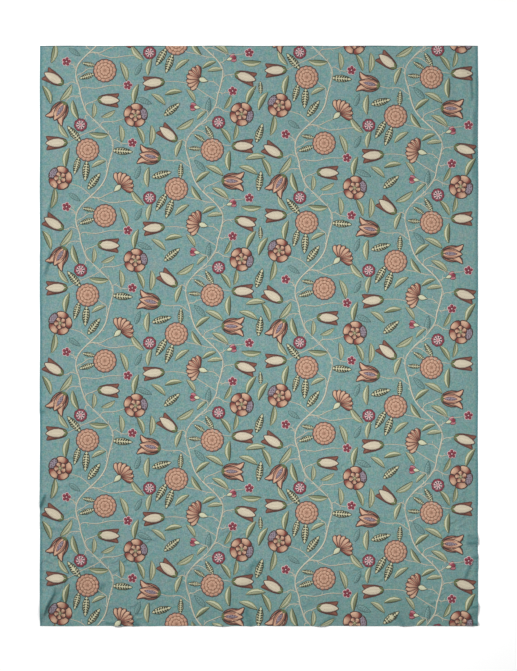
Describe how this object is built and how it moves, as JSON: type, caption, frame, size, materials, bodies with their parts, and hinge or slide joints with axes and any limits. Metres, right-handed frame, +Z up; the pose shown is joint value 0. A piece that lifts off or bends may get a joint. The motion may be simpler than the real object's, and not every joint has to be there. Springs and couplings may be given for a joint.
{
  "type": "embroidered furnishing cloth",
  "caption": "Rectangular length of woven furnishing cloth laid out flat with soft folds at its edges, worked all over with raised flowers, buds, leaves and stems.",
  "frame": {"origin": "middle of the cloth's underside, on the surface that it lies on", "axes": "+X across the width from selvedge to selvedge, +Y up the length the way the pattern stands, +Z up out of the worked face"},
  "size_m": [1.372, 1.817, 0.0108],
  "materials": {
    "ground_cloth": "plain weave, dull teal with a slight slub",
    "terracotta_yarn": "stranded yarn in long and short stitch, soft sheen",
    "rust_outline_yarn": "twisted yarn in stem stitch, soft sheen",
    "mauve_yarn": "twisted yarn in knots, matt",
    "cream_yarn": "stranded yarn in satin stitch, soft sheen",
    "leaf_yarn": "stranded yarn in fishbone stitch, cream shading to olive",
    "stem_yarn": "twisted yarn in rows of stem stitch, pinkish fawn",
    "crimson_yarn": "stranded yarn in satin stitch, soft sheen"
  },
  "bodies": {
    "root": {"cloth": "ground_cloth"}
  },
  "joints": []
}
